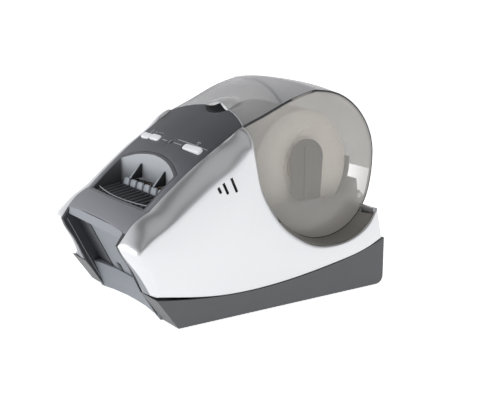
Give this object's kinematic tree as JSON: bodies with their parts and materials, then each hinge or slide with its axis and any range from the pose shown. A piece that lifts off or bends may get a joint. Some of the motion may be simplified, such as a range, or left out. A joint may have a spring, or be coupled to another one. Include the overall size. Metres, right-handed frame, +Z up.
{
  "type": "label maker",
  "caption": "Desktop label maker with silver sides, a dark sloping control panel, a half-moon label outlet and a round smoked cover that hinges open over the label roll.",
  "frame": {"origin": "centre of the footprint, on the desk plane under the rubber feet", "axes": "+Z up, -Y towards the nose where the label comes out, +X to the machine's right-hand side seen from behind"},
  "size_m": [0.132, 0.1997, 0.145],
  "materials": {
    "base_grey": "fine moulded grain",
    "foot_rubber": "matt",
    "silver_side": "satin silver lacquer",
    "panel_dark": "fine moulded grain",
    "outlet_grey": "satin",
    "rib_black": "satin",
    "comb_grey": "satin",
    "ledge_grey": "satin",
    "steel": "brushed",
    "smoke": "polished smoked clear plastic",
    "spool_grey": "satin",
    "core_board": "plain board",
    "label_paper": "matt paper",
    "button_white": "satin",
    "lamp_lens": "polished",
    "board_green": "solder mask",
    "platen_rubber": "ground",
    "gear_white": "moulded",
    "brass_part": "turned",
    "head_ceramic": "glazed",
    "heat_sink_metal": "extruded",
    "port_black": "moulded"
  },
  "bodies": {
    "housing": {"base_tray": "base_grey", "rubber_feet": "foot_rubber", "side_panel_right": "silver_side", "side_panel_left": "silver_side", "control_panel": "panel_dark", "outlet_surround": "outlet_grey", "outlet_tray": "rib_black", "tear_comb": "comb_grey", "label_fin_right": "rib_black", "label_fin_left": "rib_black", "cheek_right": "panel_dark", "cheek_left": "panel_dark", "front_wall": "panel_dark", "front_lip": "comb_grey", "rear_panel": "base_grey", "ledge_right": "ledge_grey", "ledge_left": "ledge_grey", "hinge_pin": "steel", "roll_liner": "rib_black", "spool_arm_right": "spool_grey", "spool_arm_left": "spool_grey", "label_web": "label_paper", "status_lamp": "lamp_lens", "button_board": "board_green", "side_plate_right": "steel", "side_plate_left": "steel", "cross_tray": "rib_black", "shaft_bush_right": "brass_part", "shaft_bush_left": "brass_part", "idler_post": "steel", "feed_motor": "steel", "head_pivot_pin": "steel", "head_spring_left": "steel", "head_spring_right": "steel", "spring_shelf": "rib_black", "cutter_motor": "steel", "fixed_blade": "steel", "main_board": "board_green", "power_board": "board_green", "power_inlet": "port_black", "usb_port": "port_black", "case_screws": "steel"},
    "cover": {"roll_cover": "smoke"},
    "power_key": {"power_button": "button_white"},
    "cut_key": {"cut_button": "button_white"},
    "feed_key": {"feed_button": "button_white"},
    "roll": {"roll_core": "core_board", "label_roll": "label_paper"},
    "platen": {"platen_roller": "platen_rubber", "platen_shaft": "steel", "platen_gear": "gear_white"},
    "idler": {"idler_gear": "gear_white"},
    "pinion": {"motor_pinion": "brass_part", "motor_shaft": "steel"},
    "cutter_wheel": {"cutter_gear": "gear_white"},
    "blade": {"cutter_blade": "steel"},
    "head": {"head_carrier": "gear_white", "print_head": "head_ceramic", "heat_sink": "heat_sink_metal"}
  },
  "joints": [
    {"name": "cover_hinge", "type": "hinge", "parent": "housing", "child": "cover", "pos_m": [0, 0.093, 0.062], "axis": [-1, 0, 0], "range_deg": [0, 85]},
    {"name": "power_press", "type": "slide", "parent": "housing", "child": "power_key", "axis": [0, 0.5505, -0.8348], "range_m": [0, 0.0012], "stiffness_N_per_m": 300},
    {"name": "cut_press", "type": "slide", "parent": "housing", "child": "cut_key", "axis": [0, 0.5505, -0.8348], "range_m": [0, 0.0012], "stiffness_N_per_m": 300},
    {"name": "feed_press", "type": "slide", "parent": "housing", "child": "feed_key", "axis": [0, 0.5505, -0.8348], "range_m": [0, 0.0012], "stiffness_N_per_m": 300},
    {"name": "roll_spin", "type": "hinge", "parent": "housing", "child": "roll", "pos_m": [0, 0.05, 0.086], "axis": [1, 0, 0], "continuous": true},
    {"name": "platen_spin", "type": "hinge", "parent": "housing", "child": "platen", "pos_m": [0, -0.036, 0.084], "axis": [1, 0, 0], "continuous": true},
    {"name": "idler_spin", "type": "hinge", "parent": "housing", "child": "idler", "pos_m": [0, -0.02, 0.06479], "axis": [1, 0, 0], "continuous": true},
    {"name": "pinion_spin", "type": "hinge", "parent": "housing", "child": "pinion", "pos_m": [0, -0.005, 0.05009], "axis": [1, 0, 0], "continuous": true},
    {"name": "cutter_turn", "type": "hinge", "parent": "housing", "child": "cutter_wheel", "pos_m": [-0.026, -0.0465, 0.062], "axis": [0, 1, 0], "range_deg": [-44.77, 0]},
    {"name": "blade_slide", "type": "slide", "parent": "housing", "child": "blade", "axis": [0, 0, 1], "range_m": [0, 0.005]},
    {"name": "head_tilt", "type": "hinge", "parent": "housing", "child": "head", "pos_m": [0, -0.018, 0.07], "axis": [1, 0, 0], "range_deg": [0, 3], "stiffness_Nm_per_rad": 1, "springref_deg": -3.44, "deforming": ["head_spring_left", "head_spring_right"]}
  ],
  "couplings": [
    {"joint": "idler_spin", "follows": "platen_spin", "ratio": -0.66667},
    {"joint": "pinion_spin", "follows": "platen_spin", "ratio": 1.6667},
    {"joint": "cutter_turn", "follows": "blade_slide", "rad_per_m": -156.25}
  ]
}
